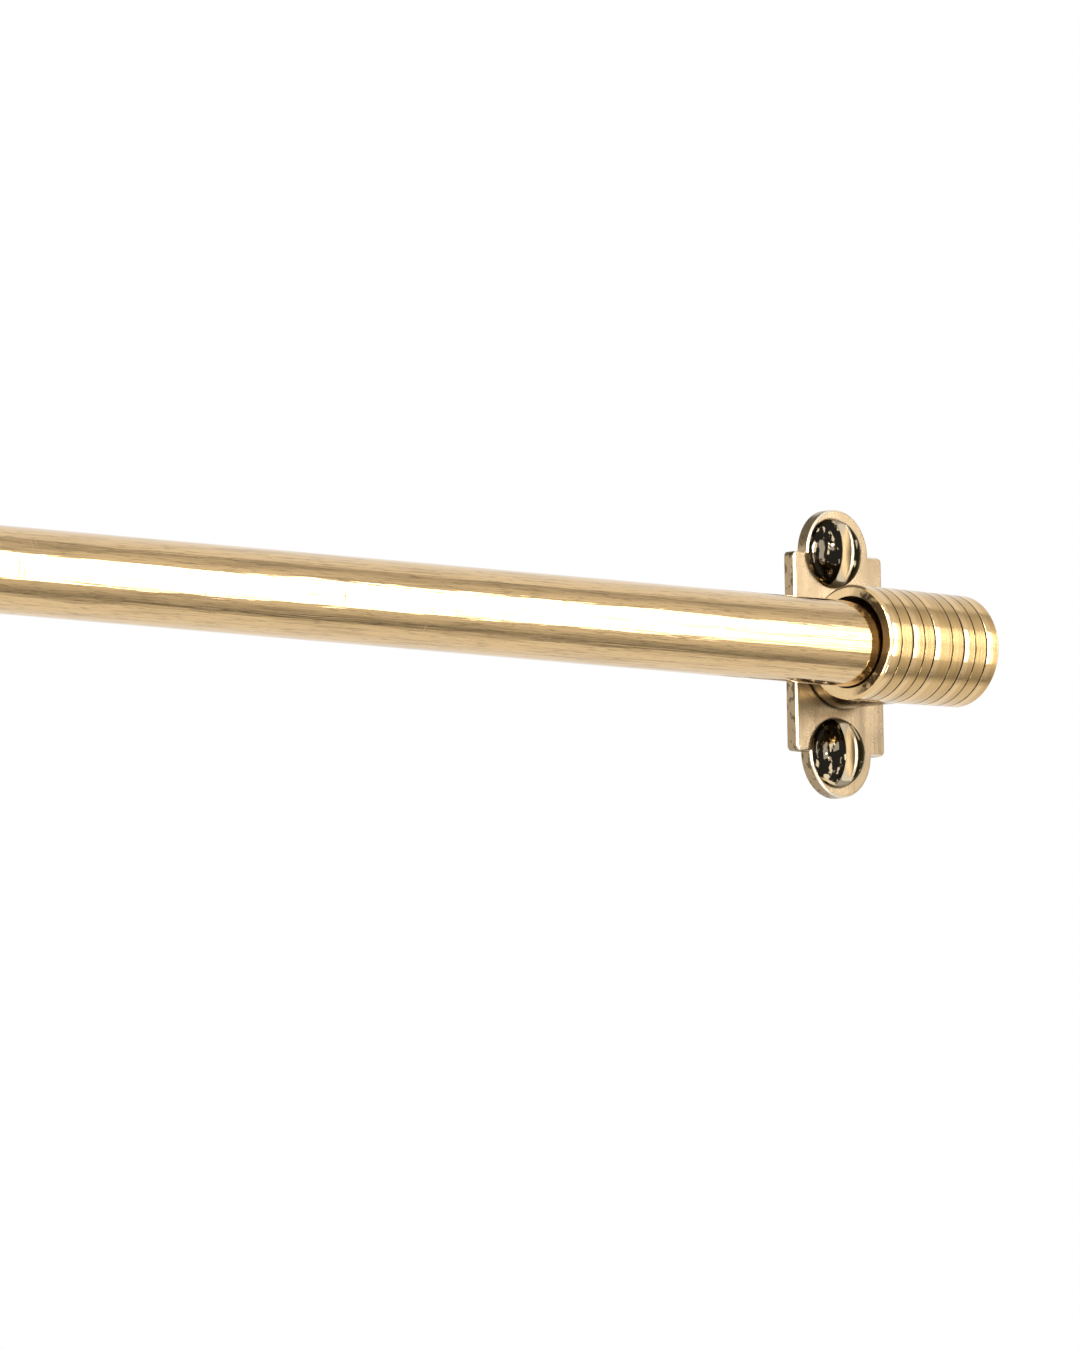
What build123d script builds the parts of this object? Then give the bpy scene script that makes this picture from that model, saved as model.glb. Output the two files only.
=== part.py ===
from build123d import *

import os
from math import radians, tan

# Cafe curtain rod: a telescoping brass tube held between two wall brackets
# The wall is the plane Y = 0 and the room lies towards -Y. The rod runs along X, and +Z is up.
# The origin is on the wall midway between the right bracket's two screws. All sizes are in millimetres.

# Spacing of the two brackets' screws: as drawn, and at the rod's full reach
bracket_spacing = 508.0
widest_spacing = 711.2

# Wall plate with a round ear above and below
plate_width = 14.3
plate_thickness = 1.6
plate_corner_radius = 0.6
plate_edge_radius = 0.3
ear_diameter = 9.9
ear_spacing = 22.2
ear_hole_diameter = 4.4
# The holes are punched nearer the barrel's mouth than the ears' centres
ear_hole_offset = 0.9

# Standoff post, and the height of the barrel's axis above the plate
post_diameter = 12.3
axis_height = 9.6

# Barrel socket: positions along its axis are measured from the mouth
barrel_length = 17.8
barrel_mouth_diameter = 12.8
barrel_end_diameter = 12.4
bore_diameter = 10.0
bore_depth = 14.0
bore_edge_chamfer = 0.15
mouth_edge_radius = 0.35
end_edge_radius = 0.2
ring_positions = (3.65, 7.3, 12.1, 15.85)
ring_depth = 0.2
line_positions = (1.8, 5.6, 10.2, 14.0)
line_depth = 0.07

# Countersunk machine screw that holds plate, post and barrel together
post_screw_diameter = 2.84
post_screw_head_diameter = 5.2
post_screw_recess = 0.1
post_screw_length = 6.0
post_screw_hole_diameter = 2.94
post_screw_slot_width = 0.8
post_screw_slot_depth = 0.6
countersink_angle = 82

# Round-head wood screws
wood_screw_diameter = 4.16
wood_neck_diameter = 4.34
wood_screw_length = 19.0
wood_screw_point = 5.5
wood_head_diameter = 7.7
wood_head_height = 2.5
wood_slot_width = 1.7
wood_slot_depth = 1.2
wood_slot_turns = {"upper": 3, "lower": -1}

# Rod: an inner tube that slides in an outer one, with a ferrule on its free end
outer_diameter = 9.525
inner_diameter = 8.2
tube_wall = 0.5
tube_edge_radius = 0.35
outer_left_end = -440.0
lip_length = 1.2
lip_clearance = 0.05
collar_length = 12.0
collar_cone_length = 1.5
collar_clearance = 0.04
least_overlap = 30.0
end_gap = 1.0
seat_gap = 0.03
ferrule_length = 16.0
ferrule_chamfer = 0.4

# Levels that follow from the sizes above
mouth = -barrel_length / 2
mouth_radius = barrel_mouth_diameter / 2
end_radius = barrel_end_diameter / 2
bore_bottom = mouth + bore_depth
taper = (end_radius - mouth_radius) / barrel_length
countersink_slope = tan(radians(countersink_angle / 2))
head_cone_height = (post_screw_head_diameter - post_screw_diameter) / 2 / countersink_slope

# Each bracket has its own frame at its post's foot: X points away from the barrel's mouth and Z into
# the room. The left bracket is the right one turned half round about its post.
walls = {
    "right": Plane(origin=(ear_hole_offset, 0, 0), x_dir=(1, 0, 0), z_dir=(0, -1, 0)),
    "left": Plane(origin=(-bracket_spacing - ear_hole_offset, 0, 0), x_dir=(-1, 0, 0), z_dir=(0, -1, 0)),
}

os.makedirs("parts", exist_ok=True)

for side, wall in walls.items():
    front = wall.offset(plate_thickness)
    back = Plane(origin=wall.origin, x_dir=wall.x_dir, z_dir=-wall.z_dir)
    centre = wall.from_local_coords((0, 0, plate_thickness + axis_height))
    barrel_axis = Axis(centre, wall.x_dir)
    barrel_section = Plane(origin=centre, x_dir=wall.x_dir, z_dir=wall.y_dir)

    # Wall plate: one stamping with two ears, drilled for its screws
    with BuildPart() as wall_plate:
        with BuildSketch(wall):
            RectangleRounded(plate_width, ear_spacing, plate_corner_radius)
            with Locations((0, ear_spacing / 2), (0, -ear_spacing / 2)):
                Circle(ear_diameter / 2)
        extrude(amount=plate_thickness)
        front_face = wall_plate.faces().sort_by(Axis.Y)[0]
        fillet(front_face.outer_wire().edges(), plate_edge_radius)
        with Locations(back):
            CounterSinkHole(
                radius=post_screw_hole_diameter / 2,
                counter_sink_radius=post_screw_head_diameter / 2 + post_screw_recess * countersink_slope,
                counter_sink_angle=countersink_angle,
            )
        with Locations(back):
            with Locations((-ear_hole_offset, ear_spacing / 2), (-ear_hole_offset, -ear_spacing / 2)):
                Hole(ear_hole_diameter / 2)
    wall_plate.part.label = f"{side}_wall_plate"
    export_step(wall_plate.part, f"parts/{side}_wall_plate.step")

    # Standoff post: a drilled round spacer, its far end cut to a saddle that seats on the barrel
    with BuildPart() as standoff_post:
        with BuildSketch(front):
            Circle(post_diameter / 2)
            Circle(post_screw_hole_diameter / 2, mode=Mode.SUBTRACT)
        extrude(amount=axis_height)
        with BuildSketch(barrel_section):
            with BuildLine():
                Polyline((mouth, 0), (mouth, mouth_radius), (-mouth, end_radius), (-mouth, 0), close=True)
            make_face()
        revolve(axis=barrel_axis, mode=Mode.SUBTRACT)
    standoff_post.part.label = f"{side}_standoff_post"
    export_step(standoff_post.part, f"parts/{side}_standoff_post.step")

    # Barrel socket: a slightly tapered turned cup with a blind bore, four ring grooves and a finer
    # scribed line before each of them. The screw's tapped hole goes through its back wall.
    with BuildPart() as barrel_socket:
        with BuildSketch(barrel_section):
            with BuildLine():
                Polyline(
                    (mouth, bore_diameter / 2),
                    (mouth, mouth_radius),
                    (-mouth, end_radius),
                    (-mouth, 0),
                    (bore_bottom, 0),
                    (bore_bottom, bore_diameter / 2),
                    close=True,
                )
            make_face()
            for positions, depth in ((ring_positions, ring_depth), (line_positions, line_depth)):
                with Locations(*((mouth + along, mouth_radius + taper * along) for along in positions)):
                    Rectangle(depth * 2**0.5, depth * 2**0.5, rotation=45, mode=Mode.SUBTRACT)
        revolve(axis=barrel_axis)
        circles = barrel_socket.edges().filter_by(GeomType.CIRCLE).group_by(barrel_axis)
        fillet(circles[0].sort_by(SortBy.RADIUS)[-1], mouth_edge_radius)
        fillet(circles[-1].sort_by(SortBy.RADIUS)[-1], end_edge_radius)
        bore_rim = barrel_socket.edges().filter_by(GeomType.CIRCLE).group_by(barrel_axis)[0]
        chamfer(bore_rim.sort_by(SortBy.RADIUS)[0], bore_edge_chamfer)
        with BuildSketch(front):
            Circle(post_screw_hole_diameter / 2)
        extrude(amount=axis_height, mode=Mode.SUBTRACT)
    barrel_socket.part.label = f"{side}_barrel_socket"
    export_step(barrel_socket.part, f"parts/{side}_barrel_socket.step")

    # Post screw: its head sits in the plate's countersink and its tip stops short of the bore
    with BuildPart() as post_screw:
        with BuildSketch(Plane(origin=wall.origin, x_dir=wall.x_dir, z_dir=wall.y_dir)):
            with BuildLine():
                Polyline(
                    (0, -post_screw_recess),
                    (post_screw_head_diameter / 2, -post_screw_recess),
                    (post_screw_diameter / 2, -post_screw_recess - head_cone_height),
                    (post_screw_diameter / 2, 0.4 - post_screw_recess - post_screw_length),
                    (post_screw_diameter / 2 - 0.4, -post_screw_recess - post_screw_length),
                    (0, -post_screw_recess - post_screw_length),
                    close=True,
                )
            make_face()
        revolve(axis=Axis(wall.origin, wall.z_dir))
        with BuildSketch(back.offset(-post_screw_recess)):
            Rectangle(post_screw_head_diameter + 1, post_screw_slot_width)
        extrude(amount=-post_screw_slot_depth, mode=Mode.SUBTRACT)
    post_screw.part.label = f"{side}_post_screw"
    export_step(post_screw.part, f"parts/{side}_post_screw.step")

    # Wood screws: slotted oval-domed head on the ear's face, a neck that tapers through the ear's hole,
    # then a plain shank and gimlet point in the wall
    for level, slot_turn in wood_slot_turns.items():
        height = ear_spacing / 2 if level == "upper" else -ear_spacing / 2
        seat = Plane(
            origin=wall.origin - wall.x_dir * ear_hole_offset + (0, -plate_thickness, height),
            x_dir=(1, 0, 0),
            z_dir=(0, 0, -1),
        )
        with BuildPart() as wood_screw:
            with BuildSketch(seat):
                with BuildLine():
                    EllipticalCenterArc(
                        (0, 0), wood_head_diameter / 2, wood_head_height, start_angle=0, arc_size=90
                    )
                    Polyline(
                        (wood_head_diameter / 2, 0),
                        (wood_neck_diameter / 2, 0),
                        (wood_screw_diameter / 2, -plate_thickness),
                        (wood_screw_diameter / 2, wood_screw_point - wood_screw_length),
                        (0.2, -wood_screw_length),
                        (0, -wood_screw_length),
                        (0, wood_head_height),
                    )
                make_face()
            revolve(axis=Axis(seat.origin, (0, -1, 0)))
            top = Plane(
                origin=seat.origin + (0, -wood_head_height, 0),
                x_dir=(1, 0, 0),
                z_dir=(0, -1, 0),
            )
            with BuildSketch(top):
                Rectangle(wood_slot_width, wood_head_diameter + 1, rotation=slot_turn)
            extrude(amount=-wood_slot_depth, mode=Mode.SUBTRACT)
        wood_screw.part.label = f"{side}_{level}_wood_screw"
        export_step(wood_screw.part, f"parts/{side}_{level}_wood_screw.step")

# Rod
# It lies on the bottom of the wider bores, so its axis is a little under the barrels' axis. Both
# tubes stop short of the bores' blind ends.
rod_height = -(bore_diameter - outer_diameter) / 2 + seat_gap
rod_origin = (0, -plate_thickness - axis_height, rod_height)
rod_axis = Axis(rod_origin, (1, 0, 0))
rod_section = Plane(origin=rod_origin, x_dir=(1, 0, 0), z_dir=(0, -1, 0))
outer_right_end = ear_hole_offset + bore_bottom - end_gap
outer_radius = outer_diameter / 2
outer_bore = outer_radius - tube_wall
inner_left_end = -bracket_spacing - outer_right_end
inner_right_end = outer_left_end + least_overlap + widest_spacing - bracket_spacing
inner_radius = inner_diameter / 2
inner_bore = inner_radius - tube_wall
collar_radius = outer_bore - collar_clearance
collar_start = inner_right_end - collar_length

# Outer tube: its left end is rolled in to a lip that guides the inner tube
with BuildPart() as outer_tube:
    with BuildSketch(rod_section):
        with BuildLine():
            Polyline(
                (outer_left_end, inner_radius + lip_clearance),
                (outer_left_end, outer_radius),
                (outer_right_end, outer_radius),
                (outer_right_end, outer_bore),
                (outer_left_end + lip_length, outer_bore),
                (outer_left_end + lip_length, inner_radius + lip_clearance),
                close=True,
            )
        make_face()
    revolve(axis=rod_axis)
    rims = outer_tube.edges().filter_by(GeomType.CIRCLE).group_by(Axis.X)
    fillet(rims[0].sort_by(SortBy.RADIUS)[-1], tube_edge_radius)
    fillet(rims[-1].sort_by(SortBy.RADIUS)[-1], tube_edge_radius / 2)
outer_tube.part.label = "outer_tube"
export_step(outer_tube.part, "parts/outer_tube.step")

# Inner tube: its right end is swelled to a collar that the lip holds back
with BuildPart() as inner_tube:
    with BuildSketch(rod_section):
        with BuildLine():
            Polyline(
                (inner_left_end, inner_bore),
                (inner_left_end, inner_radius),
                (collar_start - collar_cone_length, inner_radius),
                (collar_start, collar_radius),
                (inner_right_end, collar_radius),
                (inner_right_end, collar_radius - tube_wall),
                (collar_start, collar_radius - tube_wall),
                (collar_start - collar_cone_length, inner_bore),
                close=True,
            )
        make_face()
    revolve(axis=rod_axis)
inner_tube.part.label = "inner_tube"
export_step(inner_tube.part, "parts/inner_tube.step")

# Ferrule: brings the inner tube's free end up to the outer tube's size, to fill the left socket
with BuildPart() as inner_tube_ferrule:
    with BuildSketch(Plane(origin=(inner_left_end, *rod_origin[1:]), x_dir=(0, 1, 0), z_dir=(1, 0, 0))):
        Circle(outer_radius)
        Circle(inner_radius, mode=Mode.SUBTRACT)
    extrude(amount=ferrule_length)
    rims = inner_tube_ferrule.edges().filter_by(GeomType.CIRCLE).group_by(Axis.X)
    fillet(rims[0].sort_by(SortBy.RADIUS)[-1], tube_edge_radius / 2)
    chamfer(rims[-1].sort_by(SortBy.RADIUS)[-1], ferrule_chamfer)
inner_tube_ferrule.part.label = "inner_tube_ferrule"
export_step(inner_tube_ferrule.part, "parts/inner_tube_ferrule.step")
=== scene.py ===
"""Cafe curtain rod: a telescoping brass tube resting in ringed barrel sockets on eared wall plates."""

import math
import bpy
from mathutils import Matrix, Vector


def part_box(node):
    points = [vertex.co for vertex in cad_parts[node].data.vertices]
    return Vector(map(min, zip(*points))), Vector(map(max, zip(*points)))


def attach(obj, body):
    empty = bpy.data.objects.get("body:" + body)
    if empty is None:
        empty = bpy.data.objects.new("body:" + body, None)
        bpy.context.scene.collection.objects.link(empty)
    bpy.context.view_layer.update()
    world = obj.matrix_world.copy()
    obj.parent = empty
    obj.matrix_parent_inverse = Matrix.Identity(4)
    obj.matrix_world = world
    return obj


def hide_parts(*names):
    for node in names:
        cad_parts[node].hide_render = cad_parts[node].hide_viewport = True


bl_info = {
    "name": "Cafe Curtain Rod",
    "version": (1, 0, 0),
    "blender": (4, 5, 0),
    "location": "3D View > Sidebar > Cafe Rod",
    "description": "Builds a brass cafe curtain rod with its two wall brackets in a plain studio",
    "category": "Object",
}

import bmesh
import bpy
from bpy.props import FloatProperty, FloatVectorProperty, IntProperty, PointerProperty
from bpy.types import Node, NodeSocket, Operator, Panel, PropertyGroup
from mathutils import Matrix, Vector

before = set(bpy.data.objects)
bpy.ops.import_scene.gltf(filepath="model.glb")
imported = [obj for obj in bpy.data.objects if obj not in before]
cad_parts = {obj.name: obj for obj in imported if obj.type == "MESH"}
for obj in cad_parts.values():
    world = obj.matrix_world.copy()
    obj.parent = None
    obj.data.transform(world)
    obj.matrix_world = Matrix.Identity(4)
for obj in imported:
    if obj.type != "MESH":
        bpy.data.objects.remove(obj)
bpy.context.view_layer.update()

MM = 0.001
SIDES = ("right", "left")
SIDE_BODIES = {"right": "outer_half", "left": "inner_half"}

# Ring grooves and the finer scribed lines between them, in millimetres from the barrel's mouth
RING_PLACES = (3.65, 7.3, 12.1, 15.85)
LINE_PLACES = (1.8, 5.6, 10.2, 14.0)

# Points closer than this are one point
WELD = 2e-8
# Slope of the post screws' countersunk heads
COUNTERSINK = math.tan(math.radians(41))
WHITE = (1.0, 1.0, 1.0, 1.0)
# The picture's size, and where the middle of the right plate's front stands in it, in pixels
PICTURE = (1080.0, 1350.0)
BRACKET_SPOT = (839.88, 653.74)


def length(name, text, size_mm):
    """A length property whose default is given in millimetres."""
    return FloatProperty(name=name, description=text, default=size_mm * MM, min=0.0, unit="LENGTH", precision=5)


def angle(name, text, degrees):
    """An angle property whose default is given in degrees."""
    return FloatProperty(name=name, description=text, default=math.radians(degrees), subtype="ANGLE")


def colour(name, text, value):
    """A colour property."""
    return FloatVectorProperty(name=name, description=text, default=value, subtype="COLOR", size=3, min=0, max=1)


class CafeRodTubeSizes(PropertyGroup):
    outer_diameter: length("Outer tube", "Diameter of the outer tube", 9.525)
    inner_diameter: length("Inner tube", "Diameter of the inner tube", 8.2)
    wall: length("Wall", "Wall thickness of both tubes", 0.5)
    edge_radius: length("Edge radius", "Rounding of the tubes' ends", 0.3)
    lip_length: length("Lip length", "Length of the rolled-in lip", 1.2)
    lip_clearance: length("Lip clearance", "Play between the lip and the inner tube", 0.05)
    collar_length: length("Collar length", "Length of the inner tube's swelled end", 12.0)
    collar_clearance: length("Collar clearance", "Play between the collar and the outer tube", 0.04)
    segments: IntProperty(name="Segments", description="Steps round a turned piece", default=128, min=16)


class CafeRodBracketSizes(PropertyGroup):
    plate_width: length("Plate width", "Width of the wall plate", 14.3)
    plate_thickness: length("Plate thickness", "Thickness of the wall plate", 1.6)
    plate_corner_radius: length("Plate corners", "Corner radius of the wall plate", 0.6)
    plate_edge_radius: length("Plate edge", "Rounding of the plate's front edge", 0.3)
    ear_diameter: length("Ear diameter", "Diameter of the round ears", 9.9)
    ear_spacing: length("Ear spacing", "Distance between the ears' centres", 22.2)
    ear_hole_diameter: length("Ear hole", "Diameter of the holes for the wood screws", 4.4)
    ear_hole_offset: length("Ear hole offset", "Shift of the ears' holes from their centres, towards the mouth", 0.9)
    post_diameter: length("Post diameter", "Diameter of the standoff post", 12.3)
    axis_height: length("Axis height", "Height of the barrel's axis above the plate", 9.6)
    barrel_length: length("Barrel length", "Length of the barrel socket", 17.8)
    mouth_diameter: length("Mouth diameter", "Diameter of the barrel at its mouth", 12.8)
    end_diameter: length("End diameter", "Diameter of the barrel at its closed end", 12.4)
    bore_diameter: length("Bore", "Diameter of the barrel's bore", 10.0)
    bore_depth: length("Bore depth", "Depth of the barrel's bore", 14.0)
    mouth_edge_radius: length("Mouth edge", "Rounding of the barrel's mouth", 0.35)
    end_edge_radius: length("End edge", "Rounding of the barrel's closed end", 0.2)
    ring_width: length("Ring width", "Width of a ring groove", 0.24)
    ring_depth: length("Ring depth", "Depth of a ring groove", 0.22)
    line_width: length("Line width", "Width of a scribed line", 0.13)
    line_depth: length("Line depth", "Depth of a scribed line", 0.04)
    roll_width: length("Roll width", "Width of a band's rolled-over left edge", 1.0)
    roll_slope: angle("Roll slope", "Slope at a band's left edge", -1.7)
    band_slope: angle("Band slope", "Slope of the rest of a band", 0.9)


class CafeRodScrewSizes(PropertyGroup):
    head_diameter: length("Head diameter", "Diameter of the domed head", 7.7)
    head_height: length("Head height", "Height of the domed head", 2.5)
    slot_width: length("Slot width", "Width of the slot", 1.4)
    slot_depth: length("Slot depth", "Depth of the slot", 1.2)
    slot_lip: length("Slot lip", "Rounding of the slot's edges", 0.4)
    shank_diameter: length("Shank diameter", "Diameter of the wood screw over its thread", 4.16)
    shank_length: length("Shank length", "Length of the wood screw under its head", 19.0)
    point_length: length("Point length", "Length of the wood screw's point", 5.5)
    thread_pitch: length("Thread pitch", "Pitch of the wood screw's thread", 1.7)
    upper_turn: angle("Upper slot", "Turn of the upper screw's slot", 3)
    lower_turn: angle("Lower slot", "Turn of the lower screw's slot", -1)
    post_head_diameter: length("Post screw head", "Head diameter of the countersunk post screw", 5.2)
    post_shank_diameter: length("Post screw shank", "Shank diameter of the post screw", 2.84)
    post_length: length("Post screw length", "Length of the post screw", 6.0)
    post_recess: length("Post screw recess", "Depth of its head under the plate's back", 0.1)
    post_slot_width: length("Post screw slot", "Width of the post screw's slot", 0.8)
    post_slot_depth: length("Post screw slot depth", "Depth of the post screw's slot", 0.6)


class CafeRodFinish(PropertyGroup):
    tube: colour("Tube", "Colour of the polished tube", (0.74, 0.515, 0.26))
    barrel: colour("Barrel", "Colour of the turned barrels", (0.63, 0.42, 0.18))
    sawn: colour("Sawn face", "Colour of the barrels' sawn mouth faces", (0.66, 0.49, 0.27))
    plate: colour("Plate", "Colour of the satin wall plates", (0.45, 0.33, 0.195))
    # This colour paints a highlight along the plates' rounded front edges
    edge_highlight: colour("Worn edges", "Colour of the plates' rubbed front edges", (0.9, 0.8, 0.62))
    # This colour is darkened as painted shade and dark reflection for the posts under the barrels
    post: colour("Post", "Colour of the standoff posts", (0.36, 0.29, 0.18))
    screw: colour("Screw", "Colour of the screws where they are bright", (0.78, 0.62, 0.40))
    slot: colour("Slot", "Colour of the brass in the screws' slots", (0.38, 0.32, 0.23))
    # Dark patina that also stands in for the dark reflections in the screw heads
    patina_and_dark_reflection: colour("Patina", "Colour of the screws' darkened heads", (0.018, 0.015, 0.011))
    # Dulls lines, pits and grooves, and also serves as painted shade: on the plates towards the bottom and the outer
    # sides, round the posts and screw heads, and on the barrels' mouth faces
    tarnish_and_shade: colour("Tarnish", "Colour of brass dulled in corners and lines", (0.05, 0.035, 0.018))
    # This near-black colour is painted shade inside the bores
    bore: colour("Bore", "Colour of the unpolished bore", (0.035, 0.022, 0.012))
    floor: colour("Floor", "Colour of the studio floor and wall", (0.8, 0.8, 0.8))


class CafeRodStudio(PropertyGroup):
    azimuth: angle("Azimuth", "Camera's turn to the left of the front", 46.87)
    elevation: angle("Elevation", "Camera's height above the horizon", -5.54)
    roll: angle("Roll", "Camera's roll", 0.98)
    distance: length("Distance", "Camera's distance", 3500)
    frame_height: length("Frame height", "Height of the picture at the bracket", 149.68)
    key_strength: FloatProperty(name="Key", description="Brightness of the key softbox's face", default=6.5, min=0)
    glint_strength: FloatProperty(name="Glint", description="Brightness of the small white cards", default=20, min=0)
    floor_level: FloatProperty(name="Floor level", description="Height of the floor", default=-0.9, unit="LENGTH")


class CafeRodSettings(PropertyGroup):
    tubes: PointerProperty(type=CafeRodTubeSizes)
    bracket: PointerProperty(type=CafeRodBracketSizes)
    screws: PointerProperty(type=CafeRodScrewSizes)
    finish: PointerProperty(type=CafeRodFinish)
    studio: PointerProperty(type=CafeRodStudio)


# Objects and meshes


def new_object(name, data):
    """A new object in the scene."""
    obj = bpy.data.objects.new(name, data)
    bpy.context.scene.collection.objects.link(obj)
    return obj


def mesh_object(name, vertices, edges=(), faces=()):
    """A new object at the origin with this mesh."""
    mesh = bpy.data.meshes.new(name)
    mesh.from_pydata([tuple(v) for v in vertices], list(edges), list(faces))
    return new_object(name, mesh)


def mesh_from(work, name):
    """Ends an edit as a new mesh."""
    mesh = bpy.data.meshes.new(name)
    work.to_mesh(mesh)
    work.free()
    return mesh


def grid(rows, columns, spot):
    """Vertices and faces of a grid whose corners are spot(share of the rows, share of the columns)."""
    wide = columns + 1
    vertices = [spot(row / rows, column / columns) for row in range(rows + 1) for column in range(wide)]
    starts = [row * wide + column for row in range(rows) for column in range(columns)]
    return vertices, [(a, a + 1, a + wide + 1, a + wide) for a in starts]


def weld(work):
    """Merges points that lie together, and drops faces without area."""
    bmesh.ops.remove_doubles(work, verts=work.verts, dist=WELD)
    bmesh.ops.dissolve_degenerate(work, edges=work.edges, dist=WELD)


def tidy_shading(obj, sharp_degrees=35):
    """Closes the mesh's seams, points its faces outwards, and keeps only real corners sharp."""
    mesh = obj.data
    work = bmesh.new()
    work.from_mesh(mesh)
    weld(work)
    bmesh.ops.recalc_face_normals(work, faces=work.faces)
    work.to_mesh(mesh)
    work.free()
    mesh.polygons.foreach_set("use_smooth", [True] * len(mesh.polygons))
    mesh.set_sharp_from_angle(angle=math.radians(sharp_degrees))
    mesh.update()
    return obj


def mark(mesh, name, values):
    """Gives each point of a mesh a number for its material."""
    mesh.attributes.new(name, "FLOAT", "POINT").data.foreach_set("value", values)


def settle(obj, modifier):
    """Leaves a modifier's result as the object's plain mesh, and removes the modifier."""
    depsgraph = bpy.context.evaluated_depsgraph_get()
    result = bpy.data.meshes.new_from_object(obj.evaluated_get(depsgraph), depsgraph=depsgraph)
    obj.modifiers.remove(modifier)
    old, obj.data = obj.data, result
    bpy.data.meshes.remove(old)


def middle_of(box):
    """The middle of a CAD node's box."""
    low, high = box
    return (low + high) / 2


def hand_over(obj, body, slot, *nodes):
    """Lets a finished piece stand for its CAD nodes and ride on their body."""
    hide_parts(*nodes)
    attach(obj, body)


def put_at_side(obj, side, slot, *nodes):
    """Hands over a bracket's piece at its side: the left bracket is the right one turned half round on the wall."""
    move = Matrix.Translation((middle_of(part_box(f"{side}_wall_plate")).x, 0.0, 0.0))
    obj.data.transform(move if side == "right" else move @ Matrix.Rotation(math.pi, 4, "Y"))
    hand_over(obj, SIDE_BODIES[side], slot, *nodes)


# Node trees


def add_node(tree, kind, values=None, **settings):
    """Adds a node with its settings. Each input takes a value, a socket, or a node's first output."""
    node = tree.nodes.new(kind)
    for key, value in settings.items():
        setattr(node, key, value)
    for key, value in (values or {}).items():
        if isinstance(value, (Node, NodeSocket)):
            tree.links.new(value.outputs[0] if isinstance(value, Node) else value, node.inputs[key])
        else:
            node.inputs[key].default_value = value
    return node


def join_geometry(tree, *parts):
    """A node that joins several geometries."""
    node = add_node(tree, "GeometryNodeJoinGeometry")
    for part in parts:
        tree.links.new(part.outputs[0], node.inputs[0])
    return node


def geometry_tree(name, inputs):
    """A Geometry Nodes tree with a geometry input, named inputs and a geometry output, and its input node."""
    tree = bpy.data.node_groups.new(name, "GeometryNodeTree")
    for label, kind in (("Geometry", "Geometry"), *inputs, ("Material", "Material")):
        tree.interface.new_socket(label, in_out="INPUT", socket_type=f"NodeSocket{kind}")
    tree.interface.new_socket("Geometry", in_out="OUTPUT", socket_type="NodeSocketGeometry")
    return tree, add_node(tree, "NodeGroupInput")


def end_tree(tree, source, geometry):
    """Makes the tree's result real, gives it the material, and sends it out."""
    whole = add_node(tree, "GeometryNodeRealizeInstances", {"Geometry": geometry})
    values = {"Geometry": whole, "Material": source.outputs["Material"]}
    add_node(tree, "NodeGroupOutput", {"Geometry": add_node(tree, "GeometryNodeSetMaterial", values)})
    return tree


def run_tree(obj, tree, values):
    """Runs a tree on an object, and leaves its result as the object's plain mesh."""
    modifier = obj.modifiers.new(tree.name, "NODES")
    modifier.node_group = tree
    for item in tree.interface.items_tree:
        if item.in_out == "INPUT" and item.name in values:
            modifier[item.identifier] = values[item.name]
    settle(obj, modifier)
    obj.data.name = obj.name
    return obj


def turned_piece_tree():
    """Turns a section, drawn with X along the axis and Y as the radius, round the X axis."""
    known = bpy.data.node_groups.get("Turned Piece")
    if known:
        return known
    core = 0.001
    tree, source = geometry_tree("Turned Piece", (("Segments", "Int"), ("Centre", "Vector")))
    section = add_node(tree, "GeometryNodeMeshToCurve", {"Mesh": source})
    values = {"Geometry": section, "Rotation": (0.0, 0.0, -math.pi / 2), "Translation": (-core, 0.0, 0.0)}
    quarter = add_node(tree, "GeometryNodeTransform", values)
    values = {"Resolution": source.outputs["Segments"], "Radius": core}
    circle = add_node(tree, "GeometryNodeCurvePrimitiveCircle", values)
    swept = add_node(tree, "GeometryNodeCurveToMesh", {"Curve": circle, "Profile Curve": quarter})
    merged = add_node(tree, "GeometryNodeMergeByDistance", {"Geometry": swept, "Distance": 1e-7})
    values = {"Geometry": merged, "Rotation": (0.0, math.pi / 2, 0.0), "Translation": source.outputs["Centre"]}
    return end_tree(tree, source, add_node(tree, "GeometryNodeTransform", values))


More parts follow.
